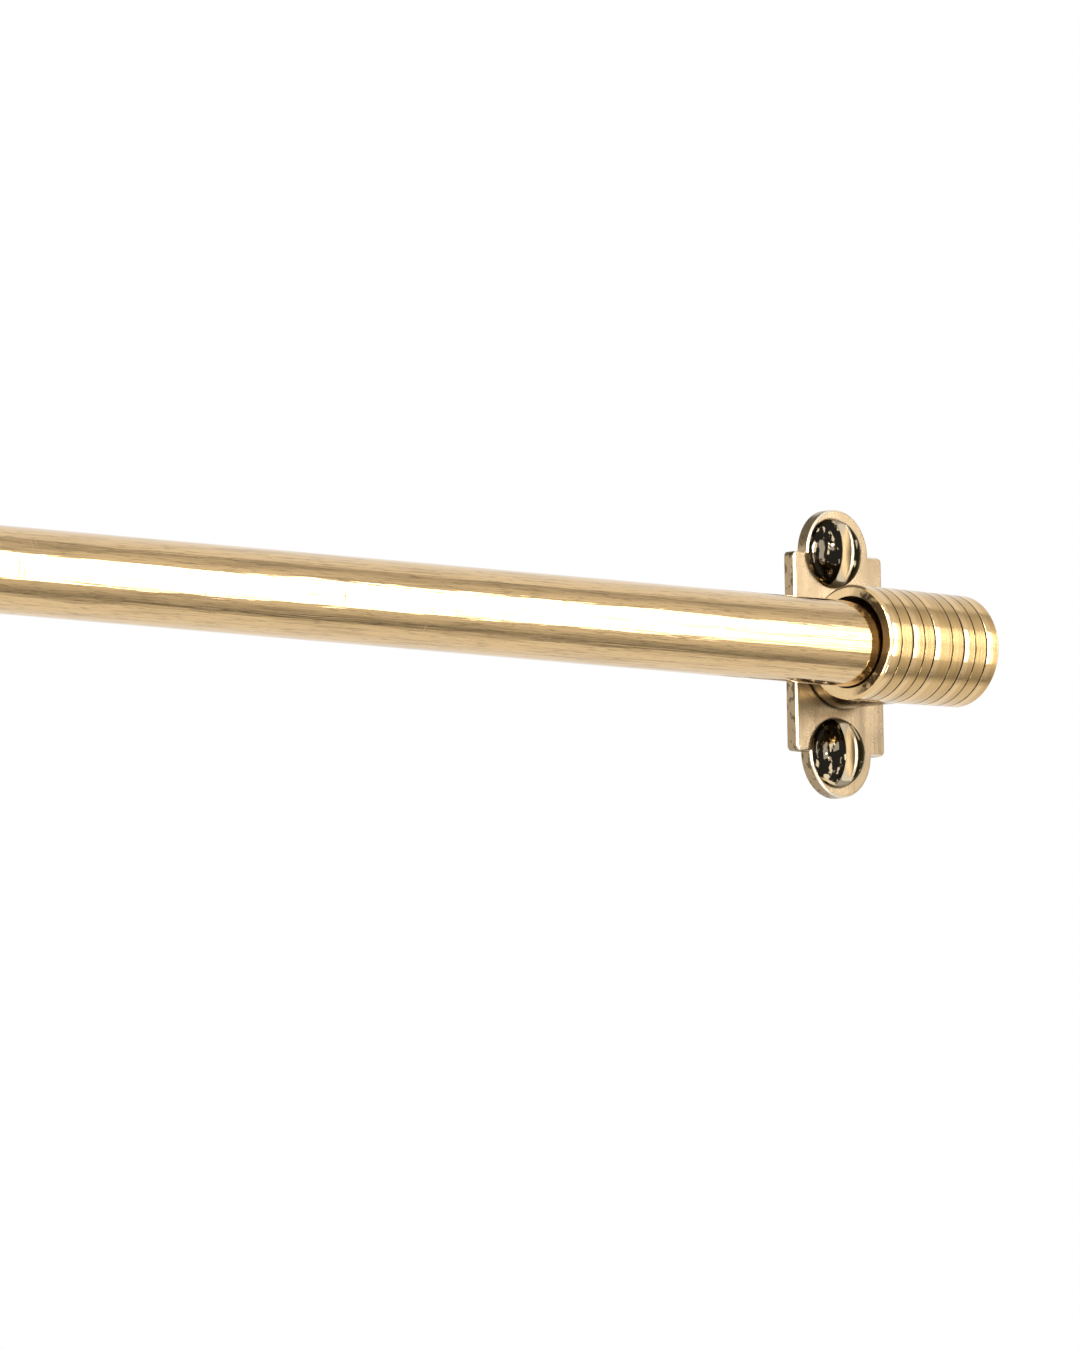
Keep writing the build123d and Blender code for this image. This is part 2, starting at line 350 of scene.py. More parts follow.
def wood_screw_tree():
    """Threads one screw's shank and sets it at two heights, each with its own turn of the slot."""
    known = bpy.data.node_groups.get("Wood Screws")
    if known:
        return known
    turns = ("Spacing", "Upper Turn", "Lower Turn")
    thread = ("Thread Start", "Thread Length", "Thread Turns", "Point Length", "Point Turns", "Root Radius", "Crest")
    tree, source = geometry_tree("Wood Screws", [(label, "Float") for label in turns + thread])
    given = source.outputs
    # The thread is a three-sided ridge swept along a spiral, and a shrinking one round the point
    ridge = add_node(tree, "GeometryNodeCurvePrimitiveCircle", {"Resolution": 3, "Radius": given["Crest"]})
    end_radius = 0.0002

    def spiral(part, last_radius):
        values = {"Resolution": 24, "Rotations": given[f"{part} Turns"], "Height": given[f"{part} Length"]}
        values.update({"Start Radius": given["Root Radius"], "End Radius": last_radius})
        return add_node(tree, "GeometryNodeCurveSpiral", values)

    def sweep(path):
        values = {"Curve": path, "Profile Curve": ridge, "Fill Caps": True}
        return add_node(tree, "GeometryNodeCurveToMesh", values)

    along = add_node(tree, "GeometryNodeSplineParameter")
    values = {"Curve": spiral("Point", end_radius), "Radius": calculate(tree, "SUBTRACT", 1.0, along)}
    tip = sweep(add_node(tree, "GeometryNodeSetCurveRadius", values))
    # The point's spiral starts where the straight one ends
    offset = add_node(tree, "ShaderNodeCombineXYZ", {"Z": given["Thread Length"]})
    tip = add_node(tree, "GeometryNodeTransform", {"Geometry": tip, "Translation": offset})
    both = join_geometry(tree, tip, sweep(spiral("Thread", given["Root Radius"])))
    # Spirals climb along Z, and the screw lies along Y
    start = add_node(tree, "ShaderNodeCombineXYZ", {"Y": given["Thread Start"]})
    values = {"Geometry": both, "Rotation": (-math.pi / 2, 0.0, 0.0), "Translation": start}
    screw = join_geometry(tree, add_node(tree, "GeometryNodeTransform", values), source)
    # Two points one above the other, and a turn for each
    step = add_node(tree, "ShaderNodeCombineXYZ", {"Z": given["Spacing"]})
    half = add_node(tree, "ShaderNodeVectorMath", {0: step, "Scale": -0.5}, operation="SCALE")
    points = add_node(tree, "GeometryNodeMeshLine", {"Count": 2, "Start Location": half, "Offset": step})
    index = add_node(tree, "GeometryNodeInputIndex")
    values = {"Switch": index, "False": given["Lower Turn"], "True": given["Upper Turn"]}
    pick = add_node(tree, "GeometryNodeSwitch", values, input_type="FLOAT")
    turn = add_node(tree, "ShaderNodeCombineXYZ", {"Y": pick})
    values = {"Points": points, "Instance": screw, "Rotation": turn}
    return end_tree(tree, source, add_node(tree, "GeometryNodeInstanceOnPoints", values))


# Turned pieces


def rounded_section(corners, closed=True, steps=5, guard=0.02 * MM):
    """Points of a section whose corners (along, radius, rounding) are rounded with small arcs.

    A guard point stands just outside each arc, so that the faces beside it shade flat.
    """
    points = []
    count = len(corners)
    for i, (x, y, radius) in enumerate(corners):
        here = Vector((x, y))
        if radius <= 0 or (not closed and i in (0, count - 1)):
            points.append(here)
            continue
        before = (Vector(corners[i - 1][:2]) - here).normalized()
        after = (Vector(corners[(i + 1) % count][:2]) - here).normalized()
        half = before.angle(after) / 2
        reach = radius / math.tan(half)
        centre = here + (before + after).normalized() * (radius / math.sin(half))
        start, end = here + before * reach, here + after * reach
        first = start - centre
        swing = first.angle_signed(end - centre)
        points.append(start + before * guard)
        points += [centre + Matrix.Rotation(-swing * k / steps, 2) @ first for k in range(steps + 1)]
        points.append(end + after * guard)
    return points


def turned(name, points, centre, material, closed=True):
    """A turned piece from its section."""
    count = len(points)
    edges = [(i, (i + 1) % count) for i in range(count if closed else count - 1)]
    obj = mesh_object(name, [(p[0], p[1], 0.0) for p in points], edges)
    segments = bpy.context.scene.cafe_rod.tubes.segments
    values = {"Segments": segments, "Centre": tuple(centre), "Material": material}
    return tidy_shading(run_tree(obj, turned_piece_tree(), values))


def turned_mesh(corners, material):
    """A turned shank's mesh, laid along +Y."""
    obj = turned("shank", rounded_section(corners, closed=False), (0.0, 0.0, 0.0), material, closed=False)
    mesh = obj.data
    mesh.transform(Matrix.Rotation(math.pi / 2, 4, "Z"))
    bpy.data.objects.remove(obj)
    return mesh


# Materials


def calculate(tree, operation, *values):
    """A maths node on sockets and numbers."""
    return add_node(tree, "ShaderNodeMath", dict(enumerate(values)), operation=operation).outputs[0]


def coordinates(tree):
    """The piece's own coordinates, as a vector and as X, Y and Z."""
    vector = add_node(tree, "ShaderNodeTexCoord").outputs["Object"]
    return vector, *add_node(tree, "ShaderNodeSeparateXYZ", {"Vector": vector}).outputs


def grain(tree, scale, detail, roughness=0.6, shift=(0.0, 0.0, 0.0)):
    """Noise on the piece's own coordinates, stretched by a scale for each axis, per metre."""
    vector = add_node(tree, "ShaderNodeTexCoord").outputs["Object"]
    stretched = add_node(tree, "ShaderNodeMapping", {"Vector": vector, "Location": shift, "Scale": scale})
    values = {"Vector": stretched, "Scale": 1.0, "Detail": detail, "Roughness": roughness}
    return add_node(tree, "ShaderNodeTexNoise", values).outputs["Fac"]


def spread(tree, value, low, high, new_low=0.0, new_high=1.0):
    """Maps a range of a value onto another."""
    values = {"Value": value, "From Min": low, "From Max": high, "To Min": new_low, "To Max": new_high}
    return add_node(tree, "ShaderNodeMapRange", values).outputs["Result"]


def blend(tree, factor, first, second):
    """Mixes two colours, or a colour socket and a colour."""
    colours = [c if isinstance(c, NodeSocket) else (*c, 1.0) for c in (first, second)]
    # Of a mix node's sockets, inputs 6 and 7 and output 2 are the colours
    return add_node(tree, "ShaderNodeMix", {0: factor, 6: colours[0], 7: colours[1]}, data_type="RGBA").outputs[2]


def shaded(tint, share):
    """A darker tint."""
    return tuple(channel * share for channel in tint)


def bumps(tree, *layers):
    """Bumps on top of each other, each from a height socket and a distance."""
    below = None
    for height, distance in layers:
        values = {"Height": height, "Distance": distance, "Strength": 1.0}
        if below:
            values["Normal"] = below
        below = add_node(tree, "ShaderNodeBump", values)
    return below


def marked(tree, name):
    """The numbers that mark() gave the points."""
    return add_node(tree, "ShaderNodeAttribute", attribute_name=name).outputs["Fac"]


def empty_material(name):
    """A material with an empty node tree, and the tree."""
    material = bpy.data.materials.new(name)
    material.use_nodes = True
    material.node_tree.nodes.clear()
    return material, material.node_tree


def metal(name, paint):
    """A metal material, made once. The paint function makes its nodes and gives the shader's inputs."""
    known = bpy.data.materials.get(name)
    if known:
        return known
    material, tree = empty_material(name)
    values = {"Metallic": 1.0, **paint(tree, bpy.context.scene.cafe_rod.finish)}
    add_node(tree, "ShaderNodeOutputMaterial", {"Surface": add_node(tree, "ShaderNodeBsdfPrincipled", values)})
    return material


def tube_paint(tree, finish):
    """Drawn tube polished lengthwise: fine lines along it, and a few stray crosswise scratches."""
    lines = grain(tree, (70.0, 2600.0, 2600.0), 2.0)
    dashes = grain(tree, (420.0, 4500.0, 4500.0), 2.0)
    waves = grain(tree, (5.0, 420.0, 420.0), 2.0)
    stray = grain(tree, (2600.0, 260.0, 260.0), 1.0)
    patch = grain(tree, (60.0, 90.0, 90.0), 2.0)
    shade = blend(tree, spread(tree, waves, 0.35, 0.75), finish.tube, shaded(finish.tube, 0.94))
    shade = blend(tree, spread(tree, lines, 0.48, 0.72, 0.0, 0.35), shade, finish.tarnish_and_shade)
    shade = blend(tree, spread(tree, dashes, 0.54, 0.68, 0.0, 0.3), shade, finish.tarnish_and_shade)
    scratch = calculate(tree, "MULTIPLY", spread(tree, stray, 0.68, 0.74), spread(tree, patch, 0.52, 0.6))
    return {
        "Base Color": shade,
        "Roughness": spread(tree, lines, 0.3, 0.7, 0.04, 0.1),
        "Normal": bumps(tree, (waves, 0.00002), (lines, 0.00003), (scratch, 0.00001)),
    }


def barrel_paint(tree, finish):
    """Lathe-turned brass: fine rings round the axis, bright burnished edges, darkened grooves, and painted shade on
    the mouth's face and inner edge.
    """
    rings = grain(tree, (5200.0, 60.0, 60.0), 3.0)
    coarse = grain(tree, (900.0, 25.0, 25.0), 2.0)
    cloud = grain(tree, (260.0, 260.0, 260.0), 3.0)
    blotch = grain(tree, (300.0, 1500.0, 1500.0), 3.0)
    scored = grain(tree, (400.0, 4000.0, 900.0), 3.0)
    darkening, burnish, sawn = (marked(tree, name) for name in ("darkening", "burnish", "sawn"))
    shade = blend(tree, spread(tree, cloud, 0.35, 0.7), finish.barrel, shaded(finish.barrel, 0.88))
    shade = blend(tree, spread(tree, coarse, 0.62, 0.8, 0.0, 0.3), shade, finish.tarnish_and_shade)
    shade = blend(tree, burnish, shade, finish.tube)
    shade = blend(tree, sawn, shade, finish.sawn)
    # This darkening carries the grooves' darkening and the painted shade on the mouth's face and inner edge
    dull = calculate(tree, "MULTIPLY", darkening, spread(tree, blotch, 0.35, 0.65, 0.6, 1.6))
    shade = blend(tree, spread(tree, dull, 0.03, 0.5), shade, finish.tarnish_and_shade)
    satin = spread(tree, cloud, 0.3, 0.7, 0.14, 0.2)
    # Of a mix node's inputs, 2 and 3 are the numbers
    gloss = add_node(tree, "ShaderNodeMix", {0: burnish, 2: satin, 3: 0.07}, data_type="FLOAT")
    cut = calculate(tree, "MULTIPLY", sawn, scored)
    return {
        "Base Color": shade,
        "Roughness": calculate(tree, "MULTIPLY_ADD", sawn, 0.3, gloss),
        "Normal": bumps(tree, (coarse, 0.00001), (rings, 0.000003), (cut, 0.00003)),
    }


def painted_contact_shade(tree):
    """A mask of painted shade: it darkens the plates' fronts close round the posts and the screw heads, where their
    contact shadows fall.
    """
    settings = bpy.context.scene.cafe_rod
    circles = []
    for side in SIDES:
        circles.append((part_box(f"{side}_standoff_post"), settings.bracket.post_diameter / 2, 0.35 * MM))
        for place in ("upper", "lower"):
            circles.append((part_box(f"{side}_{place}_wood_screw"), settings.screws.head_diameter / 2, 0.22 * MM))
    vector, _x, y, _z = coordinates(tree)
    flat = add_node(tree, "ShaderNodeVectorMath", {0: vector, 1: (1.0, 0.0, 1.0)}, operation="MULTIPLY")
    mask = 0.0
    for box, radius, width in circles:
        centre = middle_of(box)
        values = {0: flat, 1: (centre.x, 0.0, centre.z)}
        away = add_node(tree, "ShaderNodeVectorMath", values, operation="DISTANCE").outputs["Value"]
        mask = calculate(tree, "MAXIMUM", mask, spread(tree, away, radius + width, radius, 0.0, 0.95))
    front = -settings.bracket.plate_thickness
    return calculate(tree, "MULTIPLY", mask, spread(tree, y, front + 0.3 * MM, front + 0.1 * MM))


def plate_paint(tree, finish):
    """Satin plate: faint upright brush lines, soft mottling, flecked sides, a painted highlight on the rounded front
    edges, and painted shade towards the bottom and the outer sides.
    """
    brushed = grain(tree, (1800.0, 300.0, 70.0), 3.0)
    cloud = grain(tree, (300.0, 300.0, 180.0), 3.0)
    pits = grain(tree, (1500.0, 1500.0, 1500.0), 1.0)
    streaks = grain(tree, (1400.0, 200.0, 90.0), 3.0)
    flecks = grain(tree, (1300.0, 1300.0, 900.0), 2.0)
    _vector, x, y, z = coordinates(tree)
    front = -bpy.context.scene.cafe_rod.bracket.plate_thickness
    shade = blend(tree, spread(tree, cloud, 0.35, 0.7), finish.plate, shaded(finish.plate, 0.9))

    def both(first, second):
        return calculate(tree, "MULTIPLY", first, second)

    before_back = spread(tree, y, -0.1 * MM, -0.05 * MM, 1.0, 0.25)
    sides = both(before_back, spread(tree, y, front + 0.3 * MM, front + 0.4 * MM))
    # How far a place stands from halfway between the two plates, for painted shade that darkens each plate towards
    # its outer side
    right, left = (middle_of(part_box(f"{side}_wall_plate")).x for side in SIDES)
    outward = calculate(tree, "ABSOLUTE", calculate(tree, "ADD", x, -(right + left) / 2))
    reach = (right - left) / 2
    for share in (
        spread(tree, pits, 0.68, 0.76, 0.0, 0.15),
        both(spread(tree, streaks, 0.5, 0.75, 0.0, 0.35), spread(tree, z, 0.002, -0.004, 0.3, 1.0)),
        # Painted shade: the plate darkens towards its bottom
        spread(tree, z, 0.004, -0.009, 0.0, 0.2),
        both(sides, spread(tree, flecks, 0.54, 0.6, 0.0, 0.7)),
        # Painted shade towards the plate's outer side
        spread(tree, outward, reach - 1 * MM, reach + 6 * MM, 0.0, 0.28),
    ):
        shade = blend(tree, share, shade, finish.tarnish_and_shade)
    # Painted highlight: a pale colour along the rounded front edge
    rounding = spread(tree, y, front + 0.16 * MM, front + 0.26 * MM, 1.0, 0.0)
    highlighted = both(spread(tree, y, front + 0.005 * MM, front + 0.03 * MM), rounding)
    shade = blend(tree, highlighted, shade, finish.edge_highlight)
    return {
        # Painted contact shade round the posts and the screw heads
        "Base Color": blend(tree, painted_contact_shade(tree), shade, finish.tarnish_and_shade),
        "Roughness": spread(tree, cloud, 0.3, 0.7, 0.24, 0.32),
        "Normal": bumps(tree, (brushed, 0.00001)),
    }


def post_shaded_paint(tree, finish):
    """The post's turned side, painted darker than the rest as shade and dark reflection under the barrel."""
    rings = grain(tree, (80.0, 4200.0, 80.0), 3.0)
    return {
        "Base Color": blend(tree, spread(tree, rings, 0.4, 0.7), finish.post, finish.tarnish_and_shade),
        "Roughness": spread(tree, rings, 0.3, 0.7, 0.12, 0.22),
        "Normal": bumps(tree, (rings, 0.000006)),
    }


def screw_paint(tree, finish):
    """Screws whose domed heads carry a dark patina that also stands in for their dark reflections, with bright brass
    in the slot and in small patches of wear.
    """
    patina_and_dark_reflection = marked(tree, "patina_and_dark_reflection")
    dents = grain(tree, (430.0, 430.0, 430.0), 2.0)
    marks = grain(tree, (2500.0, 2500.0, 600.0), 2.0)
    wear = grain(tree, (1100.0, 1100.0, 450.0), 3.0)
    kept = calculate(tree, "MULTIPLY", patina_and_dark_reflection, spread(tree, wear, 0.57, 0.61, 1.0, 0.0))
    bright = blend(tree, spread(tree, patina_and_dark_reflection, 0.0, 1.0), finish.slot, finish.screw)
    return {
        "Base Color": blend(tree, kept, bright, finish.patina_and_dark_reflection),
        "Roughness": spread(tree, patina_and_dark_reflection, 0.0, 1.0, 0.38, 0.06),
        "Specular Tint": (0.55, 0.52, 0.46, 1.0),
        "Normal": bumps(tree, (dents, 0.00013), (marks, 0.00001)),
    }


def bore_shade_paint(tree, finish):
    """Unpolished brass inside the bore, painted near-black as shade."""
    rings = grain(tree, (3000.0, 80.0, 80.0), 2.0)
    return {
        "Base Color": blend(tree, rings, finish.bore, shaded(finish.bore, 2)),
        "Roughness": spread(tree, rings, 0.3, 0.7, 0.5, 0.7),
    }


# Operators


class CAFEROD_OT_tubes(Operator):
    """Makes the outer tube, the inner tube and the ferrule on its free end"""

    bl_idname = "caferod.tubes"
    bl_label = "Rod Tubes"

    def execute(self, context):
        sizes = context.scene.cafe_rod.tubes
        material = metal("tube_polish", tube_paint)
        outer_low, outer_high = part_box("outer_tube")
        inner_low, inner_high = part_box("inner_tube")
        ferrule_low, ferrule_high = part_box("inner_tube_ferrule")
        middle = (outer_low + outer_high) / 2
        outer, inner = sizes.outer_diameter / 2, sizes.inner_diameter / 2
        bore = outer - sizes.wall
        lip, lip_end = inner + sizes.lip_clearance, outer_low.x + sizes.lip_length
        edge, small = sizes.edge_radius, 0.1 * MM
        outer_tube = (
            (outer_low.x, lip, small),
            (outer_low.x, outer, edge),
            (outer_high.x, outer, edge / 2),
            (outer_high.x, bore, small),
            (lip_end, bore, small),
            (lip_end, lip, 0.0),
        )
        collar = bore - sizes.collar_clearance
        collar_start = inner_high.x - sizes.collar_length
        cone_start = collar_start - 1.5 * MM
        bend = 0.5 * MM
        inner_tube = (
            (inner_low.x, inner - sizes.wall, small),
            (inner_low.x, inner, 0.2 * MM),
            (cone_start, inner, bend),
            (collar_start, collar, bend),
            (inner_high.x, collar, 0.15 * MM),
            (inner_high.x, collar - sizes.wall, small),
            (collar_start, collar - sizes.wall, bend),
            (cone_start, inner - sizes.wall, bend),
        )
        ferrule = (
            (ferrule_low.x, inner, 0.0),
            (ferrule_low.x, outer, edge / 2),
            (ferrule_high.x, outer, 0.4 * MM),
            (ferrule_high.x, inner, 0.0),
        )
        for node, body, corners in (
            ("outer_tube", "outer_half", outer_tube),
            ("inner_tube", "inner_half", inner_tube),
            ("inner_tube_ferrule", "inner_half", ferrule),
        ):
            tube = turned(f"{node}_smooth", rounded_section(corners), (0.0, middle.y, middle.z), material)
            hand_over(tube, body, "polished_brass", node)
        return {"FINISHED"}


class CAFEROD_OT_barrels(Operator):
    """Makes the two barrel sockets with their ring grooves and scribed lines"""

    bl_idname = "caferod.barrels"
    bl_label = "Barrel Sockets"

    def execute(self, context):
        sizes = context.scene.cafe_rod.bracket
        brass, bore = metal("barrel_turning", barrel_paint), metal("bore_painted_dark", bore_shade_paint)
        start = -sizes.barrel_length / 2
        axis = Vector((0.0, -sizes.plate_thickness - sizes.axis_height, 0.0))
        points = [Vector((p[0] + start, p[1])) for p in self.section(sizes)]
        for side in SIDES:
            obj = turned(f"{side}_barrel", points, axis, brass, closed=False)
            obj.data.materials.append(bore)
            self.paint(obj.data, sizes, start, axis)
            put_at_side(obj, side, "turned_brass", f"{side}_barrel_socket")
        return {"FINISHED"}

    @staticmethod
    def groove(sizes, along):
        """Depth of the grooves and lines at a distance from the mouth, and how far into one that place is."""
        depth, share = 0.0, 0.0
        for places, width, deep in (
            (RING_PLACES, sizes.ring_width, sizes.ring_depth),
            (LINE_PLACES, sizes.line_width, sizes.line_depth),
        ):
            for spot in places:
                inside = 1 - min(abs(along - spot * MM) / (width / 2), 1.0)
                depth, share = max(depth, deep * inside), max(share, inside)
        return depth, share

    @staticmethod
    def band(sizes, along):
        """Place in its band, from the left edge, and the band's width: bands lie between ring grooves."""
        half = sizes.ring_width / 2
        starts = [sizes.mouth_edge_radius, *(p * MM + half for p in RING_PLACES)]
        ends = [*(p * MM - half for p in RING_PLACES), sizes.barrel_length - sizes.end_edge_radius]
        for start, end in zip(starts, ends):
            if along < end:
                return max(along - start, 0.0), end - start
        return max(along - starts[-1], 0.0), ends[-1] - starts[-1]

    def fall(self, sizes, along):
        """How far a band's surface lies under the plain taper: its left edge rolls over, then it slopes gently."""
        spot, width = self.band(sizes, along)
        taper = math.atan((sizes.mouth_diameter - sizes.end_diameter) / 2 / sizes.barrel_length)
        first, last = sizes.roll_slope - taper, sizes.band_slope - taper

        def height(x):
            rolled = min(x, sizes.roll_width)
            level = -(first * rolled + (last - first) * rolled**2 / 2 / sizes.roll_width)
            return level - last * max(x - sizes.roll_width, 0.0)

        crest = sizes.roll_width * -first / (last - first) if first < 0 else 0.0
        return height(crest) - height(min(spot, width))

    def section(self, sizes):
        """Half section of the barrel, from the bottom of the bore round to the closed end."""
        bore = sizes.bore_diameter / 2
        corners = (
            (sizes.bore_depth, 0.0, 0.0),
            (sizes.bore_depth, bore, 0.2 * MM),
            (0.0, bore, 0.15 * MM),
            (0.0, sizes.mouth_diameter / 2, sizes.mouth_edge_radius),
            (sizes.barrel_length, sizes.end_diameter / 2, sizes.end_edge_radius),
            (sizes.barrel_length, 0.0, 0.0),
        )
        points = rounded_section(corners, closed=False, steps=8)
        outside_steps = 700
        outline = []
        for first, second in zip(points, points[1:]):
            outline.append(first)
            if second[0] - first[0] > sizes.barrel_length / 2 and first[1] > bore + 0.5 * MM:
                for k in range(1, outside_steps):
                    spot = first + (second - first) * k / outside_steps
                    spot[1] -= self.fall(sizes, spot[0]) + self.groove(sizes, spot[0])[0]
                    outline.append(spot)
        outline.append(points[-1])
        return outline

    def paint(self, mesh, sizes, start, axis):
        """Marks the darkened grooves and the painted shade on the mouth, burnished edges and the sawn mouth, and
        gives the bore its own material.

        The painted shade on the mouth's face is darkest at its front, away from the wall.
        """
        bore = sizes.bore_diameter / 2
        rim = sizes.mouth_diameter / 2 - sizes.mouth_edge_radius + 0.05 * MM
        hair = 0.01 * MM
        darkened_points, burnished, sawn = [], [], []
        for vertex in mesh.vertices:
            along = vertex.co.x - start
            away = math.hypot(vertex.co.y - axis.y, vertex.co.z)
            face = along < 0.03 * MM and away < rim
            darkening, edge = 0.0, 0.0
            # Painted shade on the mouth's inner edge, where it rounds into the bore
            if along < 0.2 * MM and away < bore + 0.1 * MM:
                darkening = 1.0
            elif face:
                # Painted shade across the mouth's face, darkest at the front
                darkening = 0.05 + 0.75 * max(0.0, (axis.y - vertex.co.y) / away)
            elif away > bore + hair and along <= sizes.barrel_length - hair:
                # The darkening reaches a little to the left of each groove
                darkening = max(self.groove(sizes, along)[1], self.groove(sizes, along + 0.12 * MM)[1])
                if darkening < 0.05:
                    edge = max(0.0, 1.0 - self.band(sizes, along)[0] / sizes.roll_width)
            darkened_points.append(darkening)
            burnished.append(min(1.0, edge * 2.5))
            sawn.append(1.0 if face else 0.0)
        mark(mesh, "darkening", darkened_points)
        mark(mesh, "burnish", burnished)
        mark(mesh, "sawn", sawn)
        for face in mesh.polygons:
            away = math.hypot(face.center.y - axis.y, face.center.z)
            inside = 0.16 * MM < face.center.x - start < sizes.bore_depth + hair
            face.material_index = 1 if away <= bore + hair and inside else 0


class CAFEROD_OT_posts(Operator):
    """Makes the two standoff posts, each cut to a saddle that seats on its barrel"""

    bl_idname = "caferod.posts"
    bl_label = "Standoff Posts"

    def execute(self, context):
        sizes = context.scene.cafe_rod.bracket
        count = 128
        radius, foot = sizes.post_diameter / 2, 0.15 * MM
        plate = -sizes.plate_thickness
        slope = (sizes.end_diameter - sizes.mouth_diameter) / 2 / sizes.barrel_length

        def saddle(x, z):
            barrel = (sizes.mouth_diameter + sizes.end_diameter) / 4 + slope * x - 0.02 * MM
            return plate - sizes.axis_height + math.sqrt(max(barrel**2 - z**2, 0.0))

        # Radius and level of each ring: the foot's rounding, the side, and the saddle, which sets its own levels
        rings = (
            (radius - foot, plate),
            (radius - 0.04 * MM, plate - foot * 0.6),
            (radius, plate - foot),
            (radius, plate - foot - 0.05 * MM),
            *((radius * share, None) for share in (1, 0.8, 0.5, 0.25)),
        )
        last = 1 + (len(rings) - 1) * count
        for side in SIDES:
            vertices, faces = [(0.0, plate, 0.0)], []
            for reach, level in rings:
                for k in range(count):
                    turn = 2 * math.pi * k / count
                    x, z = reach * math.cos(turn), reach * math.sin(turn)
                    vertices.append((x, saddle(x, z) if level is None else level, z))
            for k in range(count):
                after = (k + 1) % count
                faces.append((0, 1 + k, 1 + after))
                for a in range(1, last, count):
                    faces.append((a + k, a + count + k, a + count + after, a + after))
                faces.append((last + k, len(vertices), last + after))
            vertices.append((0.0, saddle(0.0, 0.0), 0.0))
            obj = mesh_object(f"{side}_post", vertices, faces=faces)
            obj.data.materials.append(metal("post_turning_shaded", post_shaded_paint))
            tidy_shading(obj)
            put_at_side(obj, side, "satin_brass", f"{side}_standoff_post")
        return {"FINISHED"}


class CAFEROD_OT_plates(Operator):
    """Makes the two wall plates with their round ears, screw holes and rounded front edges"""

    bl_idname = "caferod.plates"
    bl_label = "Wall Plates"

    @staticmethod
    def outline(sizes, inset):
        """Outline of the plate, moved inwards by an inset, with the same points for every inset."""
        half_width = sizes.plate_width / 2 - inset
        level = sizes.ear_spacing / 2
        corner = max(sizes.plate_corner_radius - inset, 0.05 * MM)
        across, up = half_width - corner, level - inset - corner
        ear = sizes.ear_diameter / 2 - inset
        start = -math.asin(inset / ear)
        corner_steps, flat_steps, ear_steps = 6, 4, 32
        quarter = []
        for k in range(corner_steps + 1):
            turn = math.pi / 2 * k / corner_steps
            quarter.append((across + corner * math.cos(turn), up + corner * math.sin(turn)))
        for k in range(1, flat_steps):
            quarter.append((across + (ear * math.cos(start) - across) * k / flat_steps, level - inset))
        for k in range(ear_steps + 1):
            turn = start + (math.pi / 2 - start) * k / ear_steps
            quarter.append((ear * math.cos(turn), level + ear * math.sin(turn)))
        upper = quarter + [(-x, z) for x, z in reversed(quarter[:-1])]
        return upper + [(-x, -z) for x, z in upper]

    def execute(self, context):
        sizes = context.scene.cafe_rod.bracket
        edge, hair = sizes.plate_edge_radius, 0.06 * MM
        front = -sizes.plate_thickness
        steps = 6
        # Inset and level of each ring, from the back's small bevel to the front edge's rounding
        levels = [(hair, 0.0), (0.0, -hair), (0.0, front + edge + hair / 2)]
        for k in range(steps + 1):
            turn = math.pi / 2 * k / steps
            levels.append((edge * (1 - math.cos(turn)), front + edge - edge * math.sin(turn)))
        levels.append((edge + 0.04 * MM, front))
        for side in SIDES:
            vertices, faces = [], []
            for inset, level in levels:
                vertices += [(x, level, z) for x, z in self.outline(sizes, inset)]
            count = len(vertices) // len(levels)
            last = len(vertices) - count
            for a in range(0, last, count):
                b = a + count
                faces += [(a + k, a + (k + 1) % count, b + (k + 1) % count, b + k) for k in range(count)]
            faces += [tuple(reversed(range(count))), tuple(range(last, len(vertices)))]
            obj = mesh_object(f"{side}_plate", vertices, faces=faces)
            obj.data.materials.append(metal("plate_satin", plate_paint))
            self.drill(obj, sizes, context.scene.cafe_rod.screws)
            tidy_shading(obj, 30)
            put_at_side(obj, side, "satin_brass", f"{side}_wall_plate")
        return {"FINISHED"}

    @staticmethod
    def drill(obj, sizes, screws):
        """Cuts the ears' holes and the countersunk hole for the post screw."""
        work = bmesh.new()

        def cone(first, second, depth, spot, turn):
            laid = Matrix.Translation(spot) @ Matrix.Rotation(turn, 4, "X")
            bmesh.ops.create_cone(
                work, cap_ends=True, segments=64, radius1=first, radius2=second, depth=depth, matrix=laid
            )

        hole, past = sizes.ear_hole_diameter / 2, 0.5 * MM
        for level in (sizes.ear_spacing / 2, -sizes.ear_spacing / 2):
            spot = (-sizes.ear_hole_offset, -sizes.plate_thickness / 2, level)
            cone(hole, hole, sizes.plate_thickness + 2 * past, spot, math.pi / 2)
        wide = screws.post_head_diameter / 2 + (screws.post_recess + past) * COUNTERSINK
        narrow = screws.post_shank_diameter / 2 + 0.05 * MM
        depth = (wide - narrow) / COUNTERSINK
        cone(narrow, wide, depth, (0.0, past - depth / 2, 0.0), -math.pi / 2)
        mesh = mesh_from(work, "drills")
        cutter = new_object("drills", mesh)
        cut = obj.modifiers.new("drill", "BOOLEAN")
        cut.operation, cut.solver, cut.object = "DIFFERENCE", "EXACT", cutter
        settle(obj, cut)
        bpy.data.objects.remove(cutter)
        bpy.data.meshes.remove(mesh)


